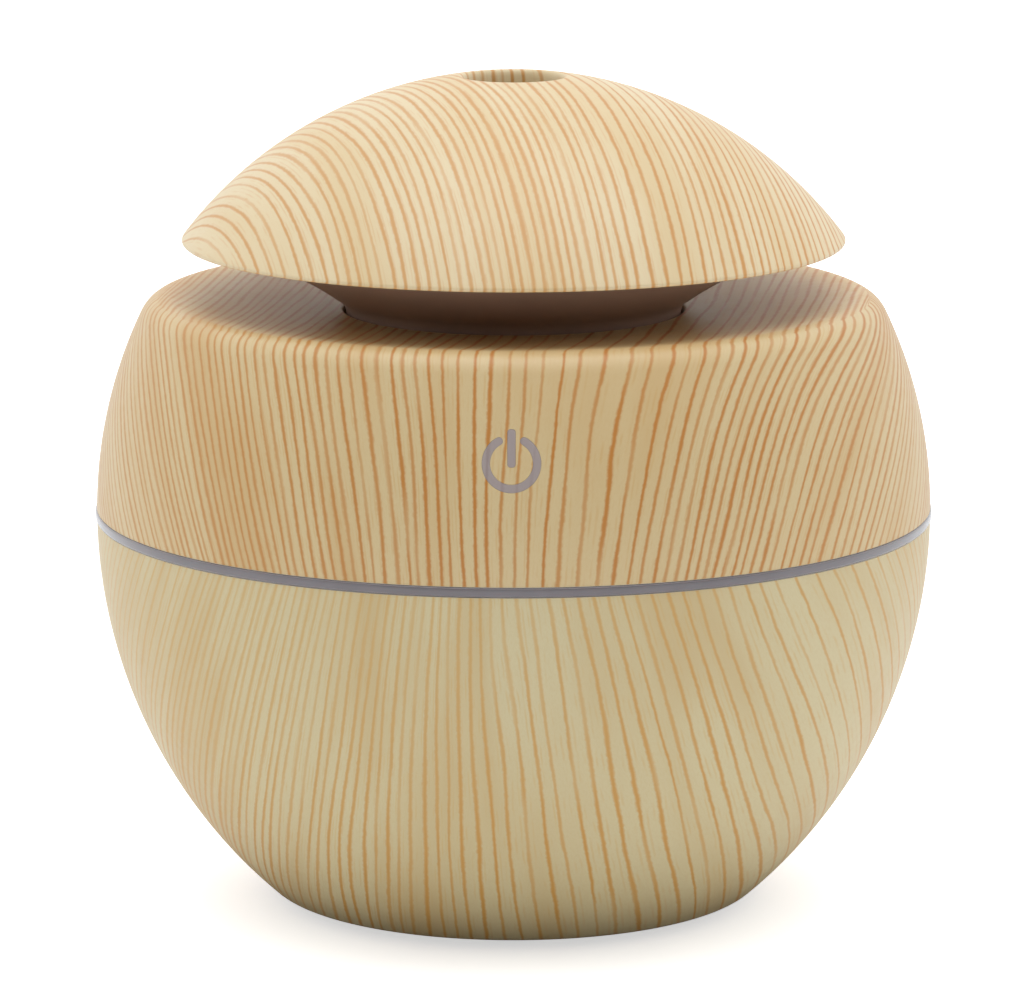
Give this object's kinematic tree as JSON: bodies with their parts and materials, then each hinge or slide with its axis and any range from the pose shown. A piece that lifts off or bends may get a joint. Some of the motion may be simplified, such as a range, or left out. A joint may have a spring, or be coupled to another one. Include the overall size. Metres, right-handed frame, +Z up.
{
  "type": "ultrasonic essential oil diffuser",
  "caption": "Round tabletop oil diffuser: wood-print bowl and shoulder with a light ring between, touch key, water tank, fan, mist stage and a lift-off mushroom cap with a mist hole.",
  "frame": {"origin": "centre of the table plane that the four feet stand on", "axes": "+Z up along the body's axis, the touch key faces -Y, the power socket faces +Y, +X to the right seen from the key"},
  "size_m": [0.1002, 0.1002, 0.0992],
  "materials": {
    "wood_print": "satin film with a printed pine grain",
    "plain_plastic": "satin",
    "milky_plastic": "translucent satin",
    "tank_plastic": "smooth",
    "white_plastic": "fine spark texture",
    "dark_plastic": "satin",
    "silicone": "matte",
    "rubber": "matte",
    "brass": "fine turned",
    "steel": "zinc plated",
    "circuit_board": "solder mask",
    "led": "clear cap",
    "ferrite": "matte",
    "foil": "satin",
    "lead_red": "satin",
    "lead_black": "satin",
    "lead_white": "satin"
  },
  "bodies": {
    "body": {"upper_shell": "wood_print", "lower_shell": "wood_print", "light_ring": "milky_plastic", "key_light_pipe": "milky_plastic", "tank": "tank_plastic", "air_duct": "tank_plastic", "piezo_clamp": "white_plastic", "base_plate": "white_plastic", "fan_frame": "dark_plastic", "controller_chip": "dark_plastic", "tank_gasket": "silicone", "piezo_seal": "silicone", "foot_1": "rubber", "foot_2": "rubber", "foot_3": "rubber", "foot_4": "rubber", "piezo_disc": "brass", "power_socket": "steel", "touch_spring": "steel", "clamp_screw_1": "steel", "clamp_screw_2": "steel", "clamp_screw_3": "steel", "base_screw_1": "steel", "base_screw_2": "steel", "base_screw_3": "steel", "base_screw_4": "steel", "tank_screw_1": "steel", "tank_screw_2": "steel", "tank_screw_3": "steel", "tank_screw_4": "steel", "board_screw_1": "steel", "board_screw_2": "steel", "fan_screw_1": "steel", "fan_screw_2": "steel", "main_board": "circuit_board", "light_board": "circuit_board", "touch_board": "circuit_board", "touch_led": "led", "light_led_1": "led", "light_led_2": "led", "light_led_3": "led", "light_led_4": "led", "light_led_5": "led", "light_led_6": "led", "inductor": "ferrite", "capacitor": "foil", "piezo_lead": "lead_red", "fan_lead": "lead_black", "light_lead": "lead_white", "touch_lead": "lead_white"},
    "cap_seal": {"cap_seal": "silicone"},
    "cap": {"cap_dome": "wood_print", "cap_insert": "plain_plastic", "mist_tube": "tank_plastic"},
    "fan": {"fan_rotor": "dark_plastic"}
  },
  "joints": [
    {"name": "cap_lift", "type": "slide", "parent": "body", "child": "cap_seal", "axis": [0, 0, 1], "range_m": [0, 0.05]},
    {"name": "cap_turn", "type": "hinge", "parent": "cap_seal", "child": "cap", "pos_m": [0, 0, 0.0647], "axis": [0, 0, 1], "continuous": true},
    {"name": "fan_spin", "type": "hinge", "parent": "body", "child": "fan", "pos_m": [0, 0, 0.0074], "axis": [0, 0, 1], "continuous": true}
  ]
}
